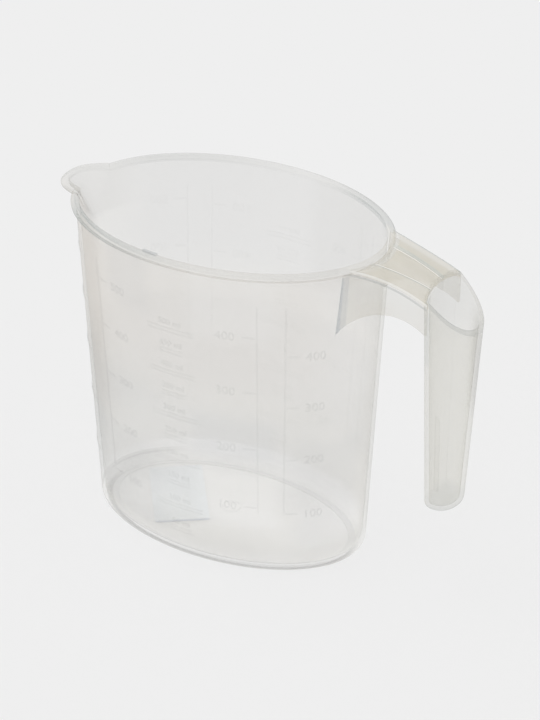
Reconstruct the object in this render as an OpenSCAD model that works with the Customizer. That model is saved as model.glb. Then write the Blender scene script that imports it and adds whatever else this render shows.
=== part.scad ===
// Oval measuring jug with a pouring spout and an open-topped hollow grip.
// One thin-walled moulding, split here into its working zones, and a paper sticker.
// Z = 0 is the table, the Z axis is the middle of the oval foot, and the handle points to +X.

/* [Body] */
// Height from the table to the top of the rim
jug_h = 121; // [110:1:135]
// Half length of the oval wall at the rim
rim_rx = 55.8; // [53:0.1:60]
// Half width of the oval wall at the rim
rim_ry = 39.1; // [37:0.1:43]
// Half length of the oval wall at the table
base_rx = 50.8; // [48:0.1:53]
// Half width of the oval wall at the table
base_ry = 31.3; // [29:0.1:34]
// Thickness of the wall
wall_t = 1.2; // [1:0.1:1.5]
// Thickness of the floor
floor_t = 1.4; // [1.2:0.1:1.8]
// Outer radius of the corner between wall and floor
corner_r = 3.6; // [3:0.1:4.5]
// Width of the flat ring that the jug stands on
foot_w = 2.8; // [2:0.1:4]
// Height of the floor's underside above the table
foot_rise = 0.9; // [0.6:0.1:1.2]
// Radius of the moulding mark in the middle of the floor
gate_r = 3.6; // [2.5:0.1:4.5]

/* [Rim] */
// Width of the rounded rim
rim_w = 2.8; // [2.4:0.1:3.6]
// Height of the rounded rim
rim_h = 2.2; // [1.8:0.1:3.2]
// Where the raised nick on the rim lies, turning from the handle
nick_at = -98.6; // [-125:0.1:-90]
// Length of the raised nick on the rim
nick_l = 5.5; // [4:0.5:8]
// Height of the raised nick on the rim
nick_h = 0.7; // [0.4:0.1:1]

/* [Spout] */
// Half width of the spout where it leaves the rim
spout_half_w = 9.9; // [8:0.1:14]
// How far the spout's lip reaches past the wall
spout_reach = 7.4; // [5:0.1:10]
// Depth of the spout's crease below the rim
spout_depth = 15; // [12:0.5:20]
// How far the lip dips below the rim at its tip
lip_drop = 0.5; // [0.3:0.1:2]
// How round the lip is, seen from above: 1 is a pointed lip and 3 a blunt one
lip_curve = 2.7; // [1.8:0.1:3]
// How hollow the spout's sides are, from 1 for straight ones
sheet_curve = 1.4; // [1:0.1:1.8]

/* [Handle] */
// Thickness of the bridge's top plate
deck_t = 1.6; // [1.4:0.1:2.2]
// Half width of the bridge beside the grip
deck_half_w = 13.1; // [12:0.1:14]
// Radius of the bridge's flare towards the rim, seen from above
flare_r = 65; // [50:1:80]
// Distance from the grip's inner corners back to where that flare starts
flare_back = 4.3; // [2:0.1:8]
// Radius of the bridge's top, seen from the side
crown_r = 76.8; // [70:0.1:85]
// Distance from the wall's top in to the highest point of the bridge's top
crown_in = 10.9; // [8:0.1:14]
// How far the bridge's top stays below the rim's top
crown_drop = 0.3; // [0.2:0.1:1]
// Thickness of the bridge's side webs
web_t = 1.3; // [1.1:0.1:1.6]
// Radius of the arch in the lower edge of the side webs
arch_r = 20; // [18:0.5:24]
// Distance from the wall's top out to the crown of that arch
arch_out = 9.7; // [7:0.1:12]
// Distance from the rim's top down to the crown of that arch
arch_drop = 14.8; // [13:0.1:17]
// Half width of the shallow channel in the top plate, at the rim
channel_half_w = 9; // [7:0.5:10]
// Half width of the shallow channel at the grip
channel_end_half_w = 4.4; // [3:0.2:6]
// Depth of the shallow channel
channel_d = 0.5; // [0.3:0.1:0.7]
// Thickness of the two ribs under the top plate
rib_t = 1.2; // [1:0.1:1.5]
// Depth of the two ribs under the top plate
rib_h = 3.4; // [2:0.1:4.5]

/* [Grip] */
// Distance from the wall's top out to the grip's inner corners
grip_out = 20.5; // [18:0.1:24]
// Length of the grip's section at the top, from its corners to its nose
grip_len = 15.8; // [14:0.1:17]
// Half width of the grip at the top
grip_half_w = 13; // [12:0.1:14]
// Half width of the grip at the bottom
grip_end_half_w = 8.2; // [7:0.1:10]
// Length of the grip's section at the bottom
grip_end_len = 9.8; // [9:0.1:12]
// How far the inner corners stand further out at the bottom than at the top
grip_lean = 2; // [0:0.1:3]
// How far the grip's inner face bows towards the jug at the top
grip_bow = 2.3; // [1:0.1:3]
// How much of that bow has gone at the bottom
bow_fade = 0.2; // [0:0.1:1]
// Height of the grip's closed end above the table
grip_end_z = 32; // [25:0.5:40]
// Thickness of the grip's wall
grip_t = 1.5; // [1.2:0.1:2]
// Radius of the grip's rounded end
grip_end_r = 3.6; // [3:0.1:4.5]
// Slope of the grip's open mouth
mouth_angle = 42.5; // [38:0.5:48]
// Length of the rib inside the grip
grip_rib_l = 29; // [20:1:50]

/* [Scales] */
// Height of the raised scale marks off the wall
mark_h = 0.35; // [0.2:0.05:0.5]
// Width of the raised scale marks
mark_w = 0.6; // [0.4:0.1:0.9]
// Length of a tick on the weight scales
tick_l = 4.2; // [3:0.1:6]
// Length of the long volume marks
long_mark_l = 17.5; // [14:0.5:20]
// Length of the short volume marks
short_mark_l = 9; // [6:0.5:11]
// Distance between the two lines of a volume mark
mark_gap = 1.3; // [1:0.1:2]
// Where the weight scales' stems start above the table
stem_z = 26; // [20:1:35]
// Where the weight scales' stems end above the table
stem_top_z = 109; // [100:1:112]
// Where the volume scale lies on the wall, turning from the handle
volume_at = -92; // [-100:1:-80]
// Where the first weight scale lies, next to the spout
at_a = -142; // [-150:1:-135]
// Weight of one millilitre of its food, in grams
density_a = 0.9; // [0.4:0.01:1.2]
// Where the second weight scale lies
at_b = -127.5; // [-135:0.5:-120]
// Weight of one millilitre of its food, in grams
density_b = 0.92; // [0.4:0.01:1.2]
// Where the third weight scale lies
at_c = -59.7; // [-65:0.1:-55]
// Weight of one millilitre of its food, in grams
density_c = 0.78; // [0.4:0.01:1.2]
// Where the fourth weight scale lies, next to the handle
at_d = -49; // [-54:1:-40]
// Weight of one millilitre of its food, in grams
density_d = 0.85; // [0.4:0.01:1.2]
// Where the fourth scale's twin on the far side lies
at_e = 45; // [40:1:48]
// Where the third scale's twin on the far side lies
at_f = 53; // [49:1:60]
// Where the second scale's twin on the far side lies
at_g = 118.8; // [110:0.1:125]
// Where the first scale's twin on the far side lies
at_h = 128.6; // [126:0.1:140]

/* [Sticker] */
// Length of the paper sticker under the floor
sticker_l = 35; // [25:1:38]
// Width of the paper sticker
sticker_w = 19.5; // [15:0.5:21]
// Thickness of the paper sticker
sticker_t = 0.15; // [0.1:0.05:0.3]
// How far the sticker's middle lies from the foot's middle, towards the spout
sticker_off = 22; // [10:1:24]
// How far the sticker is turned on the floor
sticker_turn = -55; // [-70:1:-40]

/* [Hidden] */
$fn = 96;
columns = 120;           // straight facets round the oval
over = 1;                // overrun of cuts
step = 360 / columns;
seat_z = jug_h - rim_h;  // the wall ends here and the rim sits on it
inner_floor_z = foot_rise + floor_t;
inner_corner_r = corner_r - wall_t;
inner_corner_z = inner_floor_z + inner_corner_r;  // the wall's inside starts here
corner_steps = 5;
lip_rows = 5;
spout_k = round(asin(spout_half_w / (rim_ry - wall_t)) / step);
mid = columns / 2;       // the column of the spout's middle
grip_x = rim_rx + grip_out;
flare_x = grip_x - flare_back;
arch_x = rim_rx + arch_out;
crown_x = rim_rx - crown_in;
crown_cz = jug_h - crown_drop - crown_r;
arch_cz = jug_h - arch_drop - arch_r;
grip_bottom_z = grip_end_z + grip_end_r;
gap = 0.02;              // marks stand this far off the wall's facets, which bulge less than the true oval
mm3_per_ml = 1000;
halvings = 24;           // of the search for a mark's height
quarter_turn = 90;
half_turn = 180;
scale_ml = 500;          // the scales end at this volume and this many grams

// The oval body
function outer_rx(z) = base_rx + (rim_rx - base_rx) * z / jug_h;
function outer_ry(z) = base_ry + (rim_ry - base_ry) * z / jug_h;
function on_wall(a, z, inset = 0) =
    [(outer_rx(z) - inset) * cos(a), (outer_ry(z) - inset) * sin(a), z];
function oval(z, inset) = [for (j = [0 : columns - 1]) on_wall(j * step, z, inset)];
function at_height(ring, z) = [for (p = ring) [p.x, p.y, z]];

// Solids from rings of points, each ring with as many points as the next
function quad(a, b, c, d) = [[a, b, c], [a, c, d]];
function sides(rows, n, closed) = [for (i = [0 : rows - (closed ? 1 : 2)], j = [0 : n - 1])
    let (i2 = (i + 1) % rows, j2 = (j + 1) % n)
    each quad(i * n + j, i2 * n + j, i2 * n + j2, i * n + j2)];
module ring_solid(rings)
    polyhedron([for (r = rings) each r], sides(len(rings), len(rings[0]), true));
module stack_solid(rings) {
    n = len(rings[0]);
    last = (len(rings) - 1) * n;
    ends = [[for (j = [0 : n - 1]) j], [for (j = [n - 1 : -1 : 0]) last + j]];
    polyhedron([for (r = rings) each r], concat(sides(len(rings), n, false), ends));
}

// Where the wall ends: level under the rim, and dipping in a V below the spout
function spout_share(j) = abs(j - mid) >= spout_k ? 0 : 1 - abs(j - mid) / spout_k;
function wall_top(j) = seat_z - spout_depth * spout_share(j);

module wall() color("gainsboro")
    ring_solid([
        oval(corner_r, 0),
        [for (j = [0 : columns - 1]) on_wall(j * step, wall_top(j), 0)],
        [for (j = [0 : columns - 1]) on_wall(j * step, wall_top(j), wall_t)],
        at_height(oval(corner_r, wall_t), inner_corner_z)
    ]);

// The rounded corner runs from the wall's foot in to the foot ring
function corner_ring(share, r, low) = let (a = quarter_turn * share)
    at_height(oval(corner_r, corner_r - r * sin(a)), low + r * (1 - cos(a)));
module bottom_corner() color("gainsboro")
    ring_solid(concat(
        [for (i = [0 : corner_steps]) corner_ring(i / corner_steps, corner_r, 0)],
        [for (i = [corner_steps : -1 : 0]) corner_ring(i / corner_steps, inner_corner_r, inner_floor_z)]
    ));

function from_above(ring) = [for (p = ring) [p.x, p.y]];
module foot_ring() color("gainsboro")
    linear_extrude(inner_floor_z) difference() {
        polygon(from_above(oval(corner_r, corner_r)));
        polygon(from_above(oval(corner_r, corner_r + foot_w)));
    }

module floor_panel() color("gainsboro")
    translate([0, 0, foot_rise]) linear_extrude(floor_t)
        polygon(from_above(oval(corner_r, corner_r + foot_w)));

module gate_mark() color("gainsboro")
    translate([0, 0, inner_floor_z]) difference() {
        cylinder(r = gate_r, h = mark_h);
        translate([0, 0, -over]) cylinder(r = gate_r - mark_w, h = mark_h + 2 * over);
    }

// The rim's rounded section, as shares of its width and height, from its inner foot over the top
rim_section_shares = [[0, 0], [0, 0.72], [0.08, 0.9], [0.24, 1], [0.46, 0.96], [0.72, 0.8], [0.92, 0.56],
    [1, 0.3], [1, 0.05]];
function rim_ring(p, n, z) = [for (s = rim_section_shares)
    [p.x + n.x * s[0] * rim_w, p.y + n.y * s[0] * rim_w, z + s[1] * rim_h]];

// The raised nick covers these shares of the rim's width and stands on the rim's highest line
nick_shares = [0.15, 0.5];

// The notch's two sections are mitred between the rim and the lip
function unit(v) = v / norm(v);
function radial(j) = [cos(j * step), sin(j * step)];
notch_y = (outer_ry(seat_z) - wall_t) * sin(spout_k * step);
notch_x = -(outer_rx(seat_z) - wall_t) * cos(spout_k * step);
function lip_normal(t) = unit([-notch_y, -sign(t) * lip_l * lip_curve * pow(abs(t), lip_curve - 1)]);
function mitre(j) = let (m = unit(radial(j) + lip_normal(j < mid ? -1 : 1))) m / (m * radial(j));
function rim_dir(j) = abs(j - mid) == spout_k ? mitre(j) : radial(j);
function inner_edge(j) = on_wall(j * step, seat_z, wall_t);

module rim() color("gainsboro")
    stack_solid([for (j = [mid + spout_k : mid + columns - spout_k])
        rim_ring(inner_edge(j), rim_dir(j % columns), seat_z)]);

module rim_nick() color("gainsboro") {
    spread = asin(nick_l / 2 / rim_rx);
    near = rim_w * nick_shares[0];
    far = rim_w * nick_shares[1];
    top = jug_h + nick_h;
    stack_solid([for (a = [nick_at - spread : spread / 2 : nick_at + spread])
        let (p = on_wall(a, seat_z, wall_t), d = [cos(a), sin(a)])
        [[p.x + d.x * near, p.y + d.y * near, jug_h], [p.x + d.x * near, p.y + d.y * near, top],
            [p.x + d.x * far, p.y + d.y * far, top], [p.x + d.x * far, p.y + d.y * far, jug_h]]]);
}

// The spout is a sheet from the V in the wall out to the lip, which is a rounded V from above
lip_l = spout_reach + outer_rx(seat_z) - wall_t + notch_x;
function lip_share(j) = (j - mid) / spout_k;
function lip_point(j) = [notch_x - lip_l * (1 - pow(abs(lip_share(j)), lip_curve)), -notch_y * lip_share(j)];
function lip_dir(j) = abs(j - mid) == spout_k ? mitre(j) : lip_normal(lip_share(j));
function lip_z(j) = seat_z - lip_drop * (1 - pow(lip_share(j), 2));
function sheet_point(j, s, t) = let (
        w = on_wall(j * step, wall_top(j), wall_t),
        l = lip_point(j),
        f = pow(s, sheet_curve),
        d = unit(radial(j) * (1 - s) + lip_dir(j) * s) * (wall_t * t))
    [w.x + (l.x - w.x) * f + d.x, w.y + (l.y - w.y) * f + d.y, w.z + (lip_z(j) - w.z) * s];
// At both notches the sheet runs out to an edge, so its first and last columns have two points each
sheet_n = 2 * (lip_rows + 1);
sheet_last = 2 * spout_k;
function sheet_edge(j) = [on_wall(j * step, seat_z, wall_t), on_wall(j * step, seat_z, 0)];
function sheet_column(j) = concat(
    [for (i = [0 : lip_rows]) sheet_point(j, i / lip_rows, 0)],
    [for (i = [lip_rows : -1 : 0]) sheet_point(j, i / lip_rows, 1)]);
function sheet_id(c, r) = let (tip = r > lip_rows ? 1 : 0)
    c == 0 ? tip : 2 + (c - 1) * sheet_n + (c == sheet_last ? tip : r);
function real(t) = t[0] != t[1] && t[1] != t[2] && t[2] != t[0];
module spout() color("gainsboro")
    polyhedron(
        concat(sheet_edge(mid - spout_k),
            [for (j = [mid - spout_k + 1 : mid + spout_k - 1]) each sheet_column(j)],
            sheet_edge(mid + spout_k)),
        [for (c = [0 : sheet_last - 1], r = [0 : sheet_n - 1]) let (r2 = (r + 1) % sheet_n)
            each [for (t = quad(sheet_id(c, r), sheet_id(c + 1, r), sheet_id(c + 1, r2), sheet_id(c, r2)))
                if (real(t)) t]]);

module spout_lip() color("gainsboro")
    stack_solid([for (j = [mid - spout_k : mid + spout_k])
        rim_ring(lip_point(j), lip_dir(j), lip_z(j))]);

// The bridge between jug and grip, shaped from above by its plan and from the side by its crown
function crown_z(x) = crown_cz + sqrt(crown_r * crown_r - (x - crown_x) * (x - crown_x));
function bridge_half_w(x) = x >= flare_x ? deck_half_w
    : deck_half_w + flare_r - sqrt(flare_r * flare_r - (flare_x - x) * (flare_x - x));
bridge_x0 = base_rx - 2 * corner_r;
bridge_x1 = grip_x + grip_t;
stations = 10;
bridge_stations = [for (i = [0 : stations]) bridge_x0 + (bridge_x1 - bridge_x0) * i / stations];
function band(from, to) = concat([for (p = from) p], [for (i = [len(to) - 1 : -1 : 0]) to[i]]);
function bridge_edge(side, inset) = [for (x = bridge_stations) [x, side * (bridge_half_w(x) - inset)]];
function mix(a, b, s) = a + (b - a) * s;
function rib_y(x) = mix(channel_half_w, channel_end_half_w, (x - bridge_x0) / (bridge_x1 - bridge_x0));
function rib_edge(side, inset) = [for (x = [bridge_x0, bridge_x1]) [x, side * (rib_y(x) - inset)]];

module along_y(x, z, r) translate([x, 0, z]) rotate([90, 0, 0])
    cylinder(r = r, h = 2 * rim_ry, center = true);
module crown(drop) along_y(crown_x, crown_cz, crown_r - drop);
module plan(points, z0) translate([0, 0, z0]) linear_extrude(jug_h - z0) polygon(points);
module body_envelope() stack_solid([oval(0, 0), oval(seat_z, 0)]);
module rim_envelope(z0) stack_solid([for (z = [z0, jug_h]) at_height(oval(seat_z, wall_t - rim_w), z)]);
module grip_envelope() stack_solid([grip_section(grip_bottom_z, 0), grip_section(jug_h, 0)]);

module bridge_deck() color("gainsboro") difference() {
    intersection() {
        plan(band(bridge_edge(-1, 0), bridge_edge(1, 0)), arch_cz);
        crown(0);
    }
    crown(deck_t);
    difference() {
        plan(band(rib_edge(-1, 0), rib_edge(1, 0)), arch_cz);
        crown(channel_d);
    }
    rim_envelope(seat_z - rim_h);
    grip_envelope();
}
module bridge_web(side) difference() {
    intersection() {
        plan(band(bridge_edge(side, 0), bridge_edge(side, web_t)), arch_cz);
        crown(deck_t);
    }
    along_y(arch_x, arch_cz, arch_r);
    body_envelope();
    rim_envelope(seat_z);
    grip_envelope();
}
module bridge_web_near() color("gainsboro") bridge_web(-1);
module bridge_web_far() color("gainsboro") bridge_web(1);
module bridge_rib(side) difference() {
    intersection() {
        plan(band(rib_edge(side, -rib_t / 2), rib_edge(side, rib_t / 2)), arch_cz);
        crown(deck_t);
    }
    crown(deck_t + rib_h);
    body_envelope();
    rim_envelope(seat_z);
    grip_envelope();
}
module bridge_rib_near() color("gainsboro") bridge_rib(-1);
module bridge_rib_far() color("gainsboro") bridge_rib(1);

// The grip's section narrows to a rounded nose away from the jug and bows a little towards it.
// The shares of its length and half width run along one side, from the inner corner to the nose.
grip_side_shares = [[0, 1], [0.16, 0.985], [0.32, 0.955], [0.48, 0.905], [0.61, 0.84], [0.72, 0.755],
    [0.81, 0.65], [0.89, 0.51], [0.95, 0.34], [0.987, 0.17]];
grip_nose = len(grip_side_shares) - 1;
face_steps = 4;
function grip_share(z) = (jug_h - z) / (jug_h - grip_end_z);
function grip_face_x(z) = grip_x + grip_lean * grip_share(z);
function grip_bow_at(z) = grip_bow * (1 - bow_fade * grip_share(z));
function grip_section(z, inset) = let (
        s = grip_share(z),
        w = mix(grip_half_w, grip_end_half_w, s) - inset,
        x0 = grip_face_x(z) + inset,
        l = mix(grip_len, grip_end_len, s) - 2 * inset)
    concat(
        [for (i = [0 : grip_nose]) [x0 + l * grip_side_shares[i][0], -w * grip_side_shares[i][1], z]],
        [[x0 + l, 0, z]],
        [for (i = [grip_nose : -1 : 0]) [x0 + l * grip_side_shares[i][0], w * grip_side_shares[i][1], z]],
        [for (i = [face_steps - 1 : -1 : 1 - face_steps]) let (t = i / face_steps)
            [x0 - grip_bow_at(z) * (1 - t * t), w * t, z]]);

module mouth_cut() translate([grip_x, 0, crown_z(grip_x)]) rotate([0, mouth_angle, 0])
    translate([-crown_r, -rim_ry, 0]) cube([2 * crown_r, 2 * rim_ry, crown_r]);
module grip_shell() color("gainsboro") difference() {
    intersection() {
        ring_solid([grip_section(grip_bottom_z, 0), grip_section(jug_h, 0),
            grip_section(jug_h, grip_t), grip_section(grip_bottom_z, grip_t)]);
        crown(0);
    }
    mouth_cut();
}

function grip_end_ring(share, r) = let (a = quarter_turn * share)
    grip_section(grip_bottom_z - r * sin(a), grip_end_r - r * cos(a));
module grip_end() color("gainsboro")
    stack_solid(concat(
        [for (i = [corner_steps : -1 : 0]) grip_end_ring(i / corner_steps, grip_end_r)],
        [for (i = [0 : corner_steps]) grip_end_ring(i / corner_steps, grip_end_r - grip_t)]));

function grip_inner_x(z) = grip_face_x(z) - grip_bow_at(z) + grip_t;
module grip_rib() color("gainsboro") {
    top = grip_bottom_z + grip_rib_l;
    low_x = grip_inner_x(grip_bottom_z);
    top_x = grip_inner_x(top);
    rotate([90, 0, 0]) translate([0, 0, -rib_t / 2]) linear_extrude(rib_t)
        polygon([[low_x, grip_bottom_z], [low_x + grip_t, grip_bottom_z],
            [top_x + grip_t, top - grip_t], [top_x, top]]);
}

// How much the jug holds up to a height, in millilitres, and the height that holds so much
function inside_area(z) = PI * (outer_rx(z) - wall_t) * (outer_ry(z) - wall_t);
function capacity(z) = (z - inner_floor_z) / 6 / mm3_per_ml
    * (inside_area(inner_floor_z) + 4 * inside_area((z + inner_floor_z) / 2) + inside_area(z));
function height_of(ml, low = 0, high = 2 * jug_h, n = halvings) = let (m = (low + high) / 2)
    n == 0 ? m : capacity(m) < ml ? height_of(ml, m, high, n - 1) : height_of(ml, low, m, n - 1);

// Raised marks that follow the wall
function span(a, z, l) = l / norm([outer_rx(z) * sin(a), outer_ry(z) * cos(a)]) * half_turn / PI;
module mark(a0, a1, z0, z1) {
    n = ceil((a1 - a0) / step);
    stack_solid([for (i = [0 : n]) let (a = a0 + (a1 - a0) * i / n)
        [on_wall(a, z0, -gap), on_wall(a, z1, -gap),
            on_wall(a, z1, -gap - mark_h), on_wall(a, z0, -gap - mark_h)]]);
}
module volume_marks(a) for (ml = [scale_ml / 10 : scale_ml / 10 : scale_ml], line = [0, 1]) {
    z = height_of(ml) - line * mark_gap;
    half = span(a, z, (ml % (scale_ml / 5) == 0 ? long_mark_l : short_mark_l) / 2);
    mark(a - half, a + half, z - mark_w, z);
}
module weight_marks(a, side, density) {
    half = span(a, jug_h / 2, mark_w / 2);
    mark(a - half, a + half, stem_z, stem_top_z);
    marks = [for (grams = [scale_ml / 5 : scale_ml / 5 : scale_ml]) height_of(grams / density)];
    for (z = marks) if (z < stem_top_z) {
        near = side * (half + span(a, z, mark_w / 2));
        far = near + side * span(a, z, tick_l);
        mark(a + min(near, far), a + max(near, far), z - mark_w, z);
    }
}
module volume_scale() color("gainsboro") volume_marks(volume_at);
module volume_scale_far() color("gainsboro") volume_marks(volume_at + half_turn);
module weight_scale_a() color("gainsboro") weight_marks(at_a, -1, density_a);
module weight_scale_b() color("gainsboro") weight_marks(at_b, 1, density_b);
module weight_scale_c() color("gainsboro") weight_marks(at_c, -1, density_c);
module weight_scale_d() color("gainsboro") weight_marks(at_d, 1, density_d);
module weight_scale_e() color("gainsboro") weight_marks(at_e, -1, density_d);
module weight_scale_f() color("gainsboro") weight_marks(at_f, 1, density_c);
module weight_scale_g() color("gainsboro") weight_marks(at_g, -1, density_b);
module weight_scale_h() color("gainsboro") weight_marks(at_h, 1, density_a);

module sticker() color("aliceblue")
    translate([-sticker_off, 0, foot_rise - sticker_t / 2]) rotate([0, 0, sticker_turn])
        cube([sticker_l, sticker_w, sticker_t], center = true);

wall();
bottom_corner();
foot_ring();
floor_panel();
gate_mark();
rim();
rim_nick();
spout();
spout_lip();
bridge_deck();
bridge_web_near();
bridge_web_far();
bridge_rib_near();
bridge_rib_far();
grip_shell();
grip_end();
grip_rib();
volume_scale();
volume_scale_far();
weight_scale_a();
weight_scale_b();
weight_scale_c();
weight_scale_d();
weight_scale_e();
weight_scale_f();
weight_scale_g();
weight_scale_h();
sticker();
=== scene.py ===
"""A measuring jug in translucent plastic, on a plain pale floor."""
from math import atan2, cos, hypot, pi, radians, sin, sqrt

import bmesh
import bpy
from mathutils import Matrix, Vector


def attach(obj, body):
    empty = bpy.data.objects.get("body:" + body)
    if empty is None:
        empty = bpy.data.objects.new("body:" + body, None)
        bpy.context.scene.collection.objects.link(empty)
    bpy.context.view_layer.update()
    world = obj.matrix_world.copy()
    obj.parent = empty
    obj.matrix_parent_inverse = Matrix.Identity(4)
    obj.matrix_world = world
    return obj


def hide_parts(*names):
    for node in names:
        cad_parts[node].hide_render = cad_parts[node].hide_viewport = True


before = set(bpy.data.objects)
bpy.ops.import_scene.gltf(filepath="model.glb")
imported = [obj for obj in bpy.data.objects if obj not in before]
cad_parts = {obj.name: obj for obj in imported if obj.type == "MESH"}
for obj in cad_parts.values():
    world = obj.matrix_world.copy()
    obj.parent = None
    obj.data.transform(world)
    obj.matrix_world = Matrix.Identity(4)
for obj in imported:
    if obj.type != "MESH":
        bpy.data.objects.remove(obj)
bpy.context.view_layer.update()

MM, MM_PER_M = 0.001, 1000.0
CLOSE = 0.001    # two places this near each other, in millimetres, count as one
ORIGIN = (0, 0, 0)

# The jug's main sizes, in millimetres, as in the part
JUG_H, RIM_RX, RIM_RY, BASE_RX, BASE_RY = 121.0, 55.8, 39.1, 50.8, 31.3
WALL, FLOOR_Z, FOOT_RISE, CORNER, FOOT_W = 1.2, 2.3, 0.9, 3.6, 2.8
RIM_H = 2.2
SEAT = JUG_H - RIM_H


def outer_rx(z):
    return BASE_RX + (RIM_RX - BASE_RX) * z / JUG_H


def outer_ry(z):
    return BASE_RY + (RIM_RY - BASE_RY) * z / JUG_H


def on_wall(a, z, inset=0.0):
    """A point of the wall's outside, at an angle in radians from the handle."""
    return Vector(((outer_rx(z) - inset) * cos(a), (outer_ry(z) - inset) * sin(a), z))


# The camera, placed as the photo's was

AZIMUTH, ELEVATION, ROLL = radians(28.467), radians(31.211), radians(0.424)
LOOK_AT = Vector((14.94, 0.0, 67.93)) * MM
DISTANCE = 786.5 * MM
FOCAL_PX, PICTURE_PX, SENSOR_MM = 2318.57, 720.0, 36.0    # focal length and picture height in pixels


def add_camera():
    data = bpy.data.cameras.new("camera")
    data.sensor_fit = "VERTICAL"
    data.sensor_height = SENSOR_MM
    data.lens = SENSOR_MM * FOCAL_PX / PICTURE_PX
    data.clip_start = 0.01
    camera = bpy.data.objects.new("camera", data)
    bpy.context.scene.collection.objects.link(camera)
    back = Vector((sin(AZIMUTH) * cos(ELEVATION), -cos(AZIMUTH) * cos(ELEVATION), sin(ELEVATION)))
    level = (-back).cross(Vector((0, 0, 1))).normalized()
    above = back.cross(level)
    right = cos(ROLL) * level + sin(ROLL) * above
    up = -sin(ROLL) * level + cos(ROLL) * above
    turn = Matrix((right, up, back)).transposed().to_4x4()
    camera.matrix_world = Matrix.Translation(LOOK_AT + DISTANCE * back) @ turn
    bpy.context.scene.camera = camera


add_camera()


class Shade:
    """A shader socket that can be reckoned with as a number is."""

    def __init__(self, material, socket):
        self.material, self.socket = material, socket

    def math(self, operation, *others):
        node = self.material.nodes.new("ShaderNodeMath")
        node.operation = operation
        for slot, value in zip(node.inputs, (self,) + others):
            self.material.feed(slot, value)
        return Shade(self.material, node.outputs[0])

    def __add__(self, other):
        return self.math("ADD", other)

    def __radd__(self, other):
        return self.math("ADD", other)

    def __sub__(self, other):
        return self.math("SUBTRACT", other)

    def __rsub__(self, other):
        return (self * -1.0) + other

    def __mul__(self, other):
        return self.math("MULTIPLY", other)

    def __rmul__(self, other):
        return self.math("MULTIPLY", other)

    def __truediv__(self, other):
        return self.math("DIVIDE", other)

    def __pow__(self, other):
        return self.math("POWER", other)

    def __abs__(self):
        return self.math("ABSOLUTE")

    def at_least(self, value):
        return self.math("MAXIMUM", value)

    def ramp(self, low, high, first=0.0, last=1.0):
        """Goes smoothly from first to last as this goes from low to high."""
        return self.material.node("ShaderNodeMapRange", "Result", {"interpolation_type": "SMOOTHSTEP"},
            {"Value": self, "From Min": low, "From Max": high, "To Min": first, "To Max": last})

    def fall(self, low, high, last=0.0):
        """Goes smoothly from 1 down to last as this goes from low to high."""
        return self.ramp(low, high, 1.0, last)


MIX_FIRST, MIX_SECOND, MIX_OUT = 6, 7, 2    # the colour sockets of a mix node, by number


class Material:
    """A principled material whose nodes are made one by one."""

    def __init__(self, name, colour, roughness, **settings):
        self.data = bpy.data.materials.new(name)
        self.data.use_nodes = True
        self.nodes, self.links = self.data.node_tree.nodes, self.data.node_tree.links
        self.shader = self.nodes["Principled BSDF"]
        self.set("Base Color", (*colour, 1.0))
        self.set("Roughness", roughness)
        for name, value in settings.items():
            self.set(name.replace("_", " "), value)

    def feed(self, slot, value):
        if isinstance(value, Shade):
            self.links.new(value.socket, slot)
        else:
            slot.default_value = value

    def set(self, name, value):
        self.feed(self.shader.inputs[name], value)

    def node(self, kind, output, settings=None, sockets=None):
        node = self.nodes.new(kind)
        for name, value in (settings or {}).items():
            setattr(node, name, value)
        for name, value in (sockets or {}).items():
            self.feed(node.inputs[name], value)
        return Shade(self, node.outputs[output])

    def place(self):
        return self.node("ShaderNodeTexCoord", "Object")

    def split(self, vector, axis):
        return self.node("ShaderNodeSeparateXYZ", axis, None, {"Vector": vector})

    def noise(self, scale, detail, where=None, roughness=0.5):
        return self.node("ShaderNodeTexNoise", "Fac", None,
            {"Vector": where or self.place(), "Scale": scale, "Detail": detail, "Roughness": roughness})

    def blend(self, share, first, second):
        """The colour between two colours."""
        mix = self.nodes.new("ShaderNodeMix")
        mix.data_type = "RGBA"
        self.feed(mix.inputs["Factor"], share)
        for slot, value in ((MIX_FIRST, first), (MIX_SECOND, second)):
            self.feed(mix.inputs[slot], value if isinstance(value, Shade) else (*value, 1.0))
        return Shade(self, mix.outputs[MIX_OUT])

    def bump(self, height, distance, strength):
        self.set("Normal", self.node("ShaderNodeBump", "Normal", None,
            {"Height": height, "Distance": distance, "Strength": strength}))


EDGE_SHADE = (0.38, 0.40, 0.385)    # the plastic seen edge on
LIGHT_THROUGH = 0.6    # share of the milkiness that light on its way to another surface doesn't meet
PLASTIC_IOR = 1.49
CLOUDS = 0.02    # how much the faint clouds change the milkiness


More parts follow.
